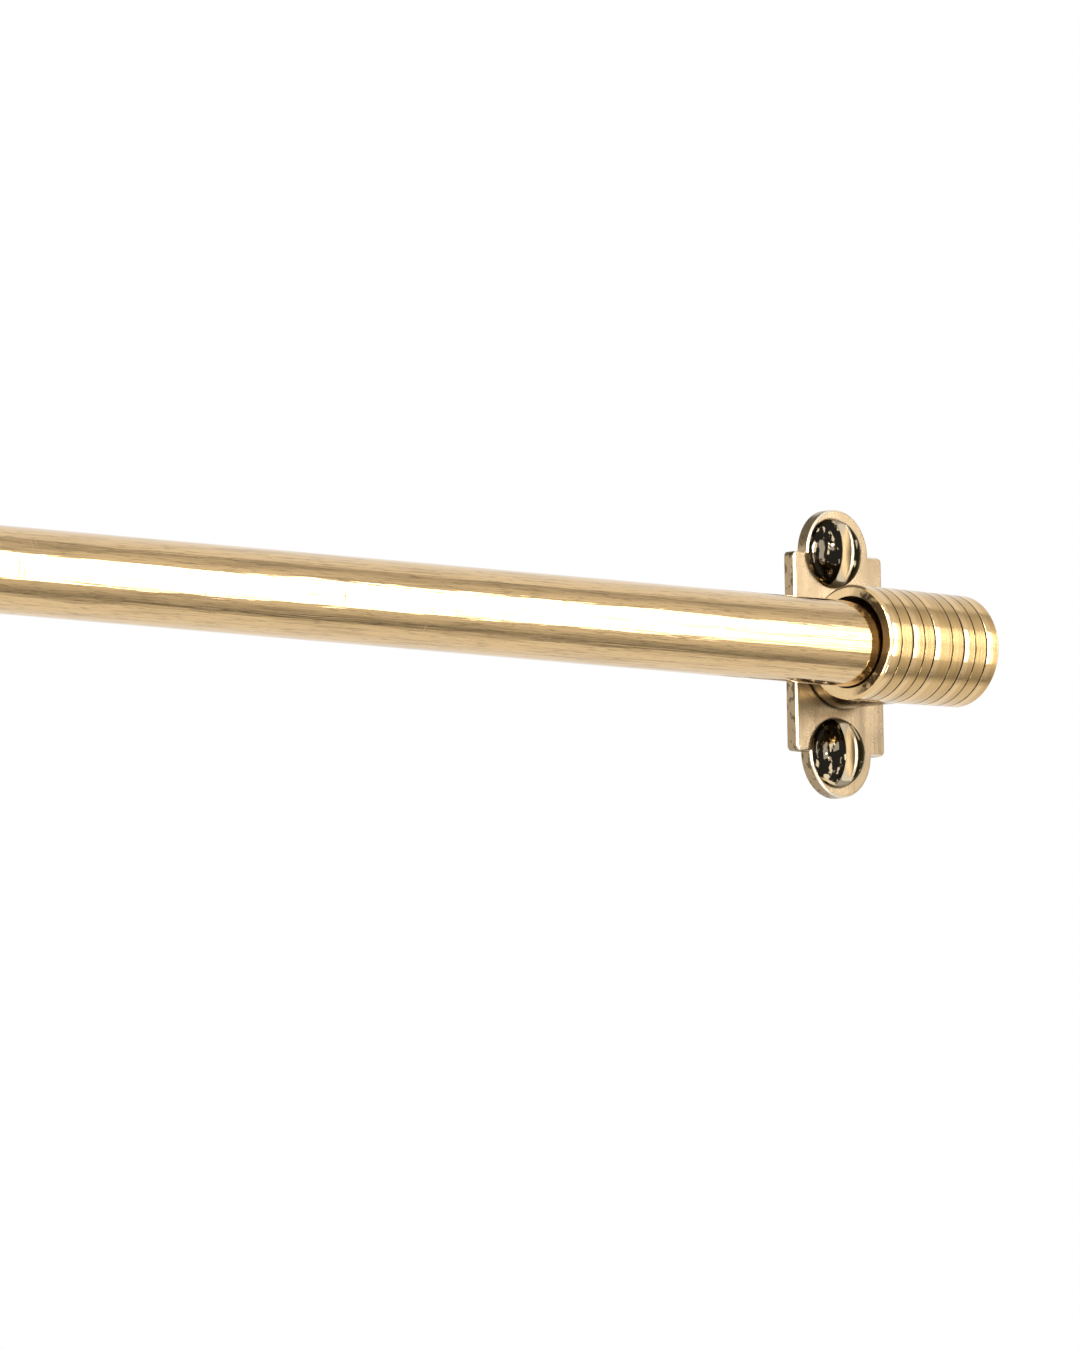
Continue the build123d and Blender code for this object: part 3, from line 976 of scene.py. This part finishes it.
def slotted_top(radius, height, slot_width, slot_depth, lip, skirt):
    """A round head seen from above: a dome, or a flat disc where height is 0, crossed by a slot.

    It looks towards -Y with its slot along Z, its rim lies in the plane Y = 0, and skirt lists the
    (radius, level) rings that close it behind.
    """
    floor, half = height - slot_depth, slot_width / 2
    outer = half + lip
    slot_steps, lip_steps, dome_steps, rows = 8, 6, 34, 72
    # Columns across the head: the slot's floor, and to each side the lip, whose share is its level
    side = []
    for k in range(lip_steps + 1):
        turn = math.pi / 2 * k / lip_steps
        side.append((half + lip * (1 - math.cos(turn)), math.sin(turn)))
    for k in range(1, dome_steps + 1):
        side.append((outer + (radius - outer) * math.sin(math.pi / 2 * k / dome_steps), 1.0))
    columns = [(-u, share) for u, share in reversed(side)]
    columns += [(-half + slot_width * k / slot_steps, None) for k in range(slot_steps + 1)] + side
    work = bmesh.new()
    index = []
    for u, share in columns:
        reach = math.sqrt(max(radius**2 - u**2, 0.0))
        column = []
        for k in range(rows + 1):
            v = -reach * math.cos(math.pi * k / rows)
            surface = height * math.sqrt(max(1.0 - (u**2 + v**2) / radius**2, 0.0))
            if share is None:
                level = min(surface, floor)
            else:
                level = surface - min(lip, max(surface - floor, 0.0)) * (1.0 - share)
            column.append(work.verts.new((u, -level, v)))
        index.append(column)
    for left, right in zip(index, index[1:]):
        for k in range(rows):
            work.faces.new((left[k], right[k], right[k + 1], left[k + 1]))
    weld(work)
    rim = [e for e in work.edges if e.is_boundary]
    for reach, level in skirt:
        grown = bmesh.ops.extrude_edge_only(work, edges=rim)["geom"]
        for vertex in (g for g in grown if isinstance(g, bmesh.types.BMVert)):
            away = math.hypot(vertex.co.x, vertex.co.z)
            vertex.co = Vector((vertex.co.x / away * reach, level, vertex.co.z / away * reach))
        rim = [g for g in grown if isinstance(g, bmesh.types.BMEdge)]
    bmesh.ops.contextual_create(work, geom=rim)
    return mesh_from(work, "head")


def joined(name, *parts):
    """One object from several meshes."""
    work = bmesh.new()
    for part in parts:
        work.from_mesh(part)
        bpy.data.meshes.remove(part)
    return new_object(name, mesh_from(work, name))


class CAFEROD_OT_wood_screws(Operator):
    """Makes the slotted round-head wood screws, two for each bracket"""

    bl_idname = "caferod.wood_screws"
    bl_label = "Wood Screws"

    def execute(self, context):
        sizes, bracket = context.scene.cafe_rod.screws, context.scene.cafe_rod.bracket
        material = metal("screw_polish", screw_paint)
        radius, crest = sizes.head_diameter / 2, sizes.shank_diameter / 2
        root, ridge = crest - 0.55 * MM, 0.5 * MM
        thread_start, step = 6.0 * MM, 0.6 * MM
        end = sizes.shank_length
        point = end - sizes.point_length
        corners = (
            (-0.5 * MM, 0.0, 0.0),
            (-0.5 * MM, crest, 0.0),
            (thread_start - step, crest, 0.3 * MM),
            (thread_start + step, root, 0.3 * MM),
            (point, root, 0.5 * MM),
            (end, 0.15 * MM, 0.05 * MM),
            (end, 0.0, 0.0),
        )
        skirt = [(radius - 0.05 * MM, 0.0)]
        for side in SIDES:
            head = slotted_top(radius, sizes.head_height, sizes.slot_width, sizes.slot_depth, sizes.slot_lip, skirt)
            obj = joined(f"{side}_wood_screws", head, turned_mesh(corners, material))
            turns = (sizes.upper_turn, sizes.lower_turn)
            upper, lower = turns if side == "right" else reversed(turns)
            values = {
                "Spacing": bracket.ear_spacing,
                "Upper Turn": upper,
                "Lower Turn": lower,
                "Thread Start": thread_start,
                "Thread Length": point - thread_start,
                "Thread Turns": (point - thread_start) / sizes.thread_pitch,
                "Point Length": sizes.point_length - step,
                "Point Turns": sizes.point_length / sizes.thread_pitch,
                "Root Radius": crest - ridge,
                "Crest": ridge,
                "Material": material,
            }
            tidy_shading(run_tree(obj, wood_screw_tree(), values), 40)
            self.paint(obj.data, sizes, bracket.ear_spacing / 2, upper, lower)
            obj.data.transform(Matrix.Translation((-bracket.ear_hole_offset, -bracket.plate_thickness, 0.0)))
            put_at_side(obj, side, "screw_brass", f"{side}_upper_wood_screw", f"{side}_lower_wood_screw")
        return {"FINISHED"}

    @staticmethod
    def paint(mesh, sizes, level, upper, lower):
        """Marks the domes, outside their slots, for the dark patina that also stands in for their dark reflections.
        """
        edge = sizes.slot_width / 2 + sizes.slot_lip * 0.6
        values = []
        for vertex in mesh.vertices:
            x, y, z = vertex.co
            turn = upper if z > 0 else lower
            z -= level if z > 0 else -level
            across = abs(x * math.cos(turn) - z * math.sin(turn))
            dome = y < 0.001 * MM and math.hypot(x, z) <= sizes.head_diameter / 2 and across > edge
            values.append(1.0 if dome else 0.0)
        mark(mesh, "patina_and_dark_reflection", values)


class CAFEROD_OT_post_screws(Operator):
    """Makes the countersunk machine screws that hold the posts to the plates"""

    bl_idname = "caferod.post_screws"
    bl_label = "Post Screws"

    def execute(self, context):
        sizes = context.scene.cafe_rod.screws
        material = metal("screw_polish", screw_paint)
        head_radius, radius = sizes.post_head_diameter / 2, sizes.post_shank_diameter / 2
        cone = (head_radius - radius) / COUNTERSINK
        skirt = [(head_radius, 0.02 * MM), (radius, cone), (radius, cone + 0.3 * MM)]
        corners = (
            (cone, 0.0, 0.0),
            (cone, radius, 0.0),
            (sizes.post_length, radius, 0.3 * MM),
            (sizes.post_length, 0.0, 0.0),
        )
        for side in SIDES:
            head = slotted_top(head_radius, 0.0, sizes.post_slot_width, sizes.post_slot_depth, 0.04 * MM, skirt)
            obj = joined(f"{side}_post_screw_smooth", head, turned_mesh(corners, material))
            obj.data.materials.clear()
            obj.data.materials.append(material)
            tidy_shading(obj, 30)
            obj.data.transform(Matrix.Rotation(math.pi, 4, "Z"))
            obj.data.transform(Matrix.Translation((0.0, -sizes.post_recess, 0.0)))
            put_at_side(obj, side, "screw_brass", f"{side}_post_screw")
        return {"FINISHED"}


class CAFEROD_OT_stage(Operator):
    """Sets up the camera, the softboxes, the dark cards, the floor and the white surround"""

    bl_idname = "caferod.stage"
    bl_label = "Studio"

    def execute(self, context):
        studio = context.scene.cafe_rod.studio
        self.camera(context, studio)
        self.surround(context)
        self.floor(context)
        self.cards()
        self.glints(studio)
        self.softboxes(studio)
        return {"FINISHED"}

    @staticmethod
    def camera(context, studio):
        """A long lens, low and to the left of the right bracket, which stands at the picture's right."""
        level = math.cos(studio.elevation)
        back = Vector(
            (-math.sin(studio.azimuth) * level, -math.cos(studio.azimuth) * level, math.sin(studio.elevation))
        )
        right = Vector((0, 0, 1)).cross(back).normalized()
        up = back.cross(right)
        across = right * math.cos(studio.roll) - up * math.sin(studio.roll)
        upward = right * math.sin(studio.roll) + up * math.cos(studio.roll)
        low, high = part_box("right_wall_plate")
        pixel = studio.frame_height / PICTURE[1]
        aim = Vector(((low.x + high.x) / 2, low.y, 0.0))
        offset = [size / 2 - spot for size, spot in zip(PICTURE, BRACKET_SPOT)]
        aim += across * offset[0] * pixel - upward * offset[1] * pixel
        data = bpy.data.cameras.new("camera")
        data.sensor_width = 36.0
        data.lens = data.sensor_width * studio.distance / studio.frame_height
        data.clip_start, data.clip_end = 0.1, 100.0
        camera = new_object("camera", data)
        matrix = Matrix((across, upward, back)).transposed().to_4x4()
        matrix.translation = aim + back * studio.distance
        camera.matrix_world = matrix
        context.scene.camera = camera

    @staticmethod
    def surround(context):
        """White where the camera and the metal see it, and plain soft light elsewhere."""
        world = bpy.data.worlds.new("surround")
        context.scene.world = world
        world.use_nodes = True
        tree = world.node_tree
        tree.nodes.clear()
        ray = add_node(tree, "ShaderNodeLightPath").outputs
        seen = calculate(tree, "MAXIMUM", ray["Is Camera Ray"], ray["Is Glossy Ray"])
        clear = calculate(tree, "MAXIMUM", seen, ray["Is Transmission Ray"])
        soft, white = (
            add_node(tree, "ShaderNodeBackground", {"Color": WHITE, "Strength": strength}) for strength in (0.6, 1.0)
        )
        mix = add_node(tree, "ShaderNodeMixShader", {0: clear, 1: soft, 2: white})
        add_node(tree, "ShaderNodeOutputWorld", {"Surface": mix})

    @staticmethod
    def sheet(context, name, corners, keep_shade):
        """A pale stage sheet, clear from its back: one that keeps its shading, or plain white to the camera."""
        obj = mesh_object(name, corners, faces=[(0, 1, 2, 3)])
        material, tree = empty_material(name)
        matte = add_node(tree, "ShaderNodeBsdfDiffuse", {"Color": (*context.scene.cafe_rod.finish.floor, 1.0)})
        haze = add_node(tree, "ShaderNodeEmission", {"Color": WHITE, "Strength": 0.4 if keep_shade else 0.05})
        front = add_node(tree, "ShaderNodeAddShader", {0: matte, 1: haze})
        if not keep_shade:
            seen = add_node(tree, "ShaderNodeLightPath").outputs["Is Camera Ray"]
            white = add_node(tree, "ShaderNodeEmission", {"Color": WHITE, "Strength": 1.0})
            front = add_node(tree, "ShaderNodeMixShader", {0: seen, 1: front, 2: white})
        behind = add_node(tree, "ShaderNodeNewGeometry").outputs["Backfacing"]
        clear = add_node(tree, "ShaderNodeBsdfTransparent")
        mix = add_node(tree, "ShaderNodeMixShader", {0: behind, 1: front, 2: clear})
        add_node(tree, "ShaderNodeOutputMaterial", {"Surface": mix})
        obj.data.materials.append(material)
        obj.visible_glossy = obj.visible_shadow = False
        obj.visible_diffuse = keep_shade

    def floor(self, context):
        """A pale floor, and the white wall that the plates are screwed to."""
        level, reach, wall = context.scene.cafe_rod.studio.floor_level, 30.0, 0.00005
        corners = [(-reach, -reach, level), (reach, -reach, level), (reach, reach, level), (-reach, reach, level)]
        self.sheet(context, "floor", corners, True)
        corners = [(-reach, wall, level), (reach, wall, level), (reach, wall, reach), (-reach, wall, reach)]
        self.sheet(context, "wall", corners, False)

    @staticmethod
    def card(name, vertices, faces, strength):
        """A card seen only in the metal's reflections. Its strength is a number, or a function that makes it."""
        obj = mesh_object(name, vertices, faces=faces)
        material, tree = empty_material(name)
        values = {"Color": (1.0, 0.98, 0.95, 1.0), "Strength": strength(tree) if callable(strength) else strength}
        add_node(tree, "ShaderNodeOutputMaterial", {"Surface": add_node(tree, "ShaderNodeEmission", values)})
        obj.data.materials.append(material)
        obj.visible_camera = obj.visible_diffuse = obj.visible_shadow = False

    def cards(self):
        """Two grey cards, above and below, that draw streaky dark bands along the rod.

        Each is a strip of a cylinder round the rod's line, its angles measured up from the front. It is
        darkest at one angle and fades out to both edges.
        """
        for name, away, degrees, left, right, depth, seed in (
            ("upper_card", 2.2, (45.0, 78.0, 86.0), 1.2, 9.0, 0.5, 0.0),
            ("lower_card", 0.85, (-80.0, -64.0, -27.0), 0.3, 4.0, 0.68, 5.0),
        ):
            low, darkest, high = (math.radians(a) for a in degrees)

            def corner(lift, across):
                turn = low + (high - low) * lift
                return left + (right - left) * across, -away * math.cos(turn), away * math.sin(turn)

            def strength(tree):
                _vector, _x, y, z = coordinates(tree)
                turn = calculate(tree, "ARCTAN2", z, calculate(tree, "MULTIPLY", y, -1.0))
                dip = calculate(tree, "MINIMUM", spread(tree, turn, low, darkest), spread(tree, turn, high, darkest))
                fine = 14.0 / away
                streaks = grain(tree, (45.0, fine, fine), 4.0, 0.75, (seed, seed, 0.0))
                uneven = spread(tree, streaks, 0.35, 0.65, depth * 0.45, depth * 1.45)
                return calculate(tree, "SUBTRACT", 1.0, calculate(tree, "MULTIPLY", dip, uneven))

            self.card(name, *grid(16, 1, corner), strength)

    def glints(self, studio):
        """Small bright cards round the camera: a tall one and a few windows that glint in the screw heads.

        Each is a patch of a sphere, given by its angles to the left of straight right and above the horizon.
        """
        away = 2.3
        vertices, faces = [], []
        for left, right, low, high in (
            (123.0, 146.0, -18.0, 40.0),
            (84.0, 98.0, 6.0, 22.0),
            (70.0, 76.0, -20.0, -8.0),
            (86.0, 96.0, -54.0, -42.0),
            (181.0, 188.0, -22.0, 30.0),
        ):

            def corner(up, across):
                lift = math.radians(low + (high - low) * up)
                turn = math.radians(left + (right - left) * across)
                level = away * math.cos(lift)
                return math.cos(turn) * level, -math.sin(turn) * level, away * math.sin(lift)

            patch_vertices, patch_faces = grid(8, 8, corner)
            faces += [tuple(len(vertices) + i for i in face) for face in patch_faces]
            vertices += patch_vertices
        self.card("glint_cards", vertices, faces, studio.glint_strength)
        # A dark one behind the wall, high up, for the upper sides of the ears
        corners = [(-3.0, 2.0, 0.9), (1.2, 2.0, 0.9), (1.2, 2.0, 6.0), (-3.0, 2.0, 6.0)]
        self.card("back_card", corners, [(0, 1, 2, 3)], 0.25)

    @staticmethod
    def softboxes(studio):
        """A tall box to the right, brighter in its upper half, draws the bright band along the rod."""
        away, left, right = 3.0, 2.86, 3.24
        for name, low, high, share in (("key_box_low", -27.5, 7.0, 0.72), ("key_box_high", 5.0, 37.0, 1.1)):
            middle, half = math.radians(low + high) / 2, math.radians(high - low) / 2
            data = bpy.data.lights.new(name, "AREA")
            data.shape = "RECTANGLE"
            data.size, data.size_y = right - left, 2 * away * math.tan(half)
            data.energy = share * studio.key_strength * math.pi * data.size * data.size_y
            lamp = new_object(name, data)
            facing = Vector((0.0, -math.cos(middle), math.sin(middle)))
            upward = Vector((0.0, math.sin(middle), math.cos(middle)))
            matrix = Matrix((upward.cross(facing), upward, facing)).transposed().to_4x4()
            matrix.translation = facing * away + Vector(((left + right) / 2, 0.0, 0.0))
            lamp.matrix_world = matrix
            lamp.visible_camera = False


class CAFEROD_PT_panel(Panel):
    """Lists the steps that build the rod, with their sizes and colours"""

    bl_label = "Cafe Rod"
    bl_idname = "CAFEROD_PT_panel"
    bl_space_type = "VIEW_3D"
    bl_region_type = "UI"
    bl_category = "Cafe Rod"

    def draw(self, context):
        layout = self.layout
        settings = context.scene.cafe_rod
        for operator in OPERATORS:
            layout.operator(operator.bl_idname)
        for group in (settings.tubes, settings.bracket, settings.screws, settings.finish, settings.studio):
            box = layout.box()
            for key in group.__annotations__:
                box.prop(group, key)


OPERATORS = (
    CAFEROD_OT_stage,
    CAFEROD_OT_tubes,
    CAFEROD_OT_barrels,
    CAFEROD_OT_posts,
    CAFEROD_OT_plates,
    CAFEROD_OT_wood_screws,
    CAFEROD_OT_post_screws,
)
CLASSES = (
    CafeRodTubeSizes,
    CafeRodBracketSizes,
    CafeRodScrewSizes,
    CafeRodFinish,
    CafeRodStudio,
    CafeRodSettings,
    *OPERATORS,
    CAFEROD_PT_panel,
)


def register():
    for cls in CLASSES:
        bpy.utils.register_class(cls)
    bpy.types.Scene.cafe_rod = PointerProperty(type=CafeRodSettings)


def unregister():
    del bpy.types.Scene.cafe_rod
    for cls in reversed(CLASSES):
        bpy.utils.unregister_class(cls)


def main():
    """Builds every piece and the studio."""
    register()
    bpy.context.scene.view_settings.view_transform = "Standard"
    bpy.ops.caferod.stage()
    bpy.ops.caferod.tubes()
    bpy.ops.caferod.barrels()
    bpy.ops.caferod.posts()
    bpy.ops.caferod.plates()
    bpy.ops.caferod.wood_screws()
    bpy.ops.caferod.post_screws()


if __name__ == "__main__":
    main()
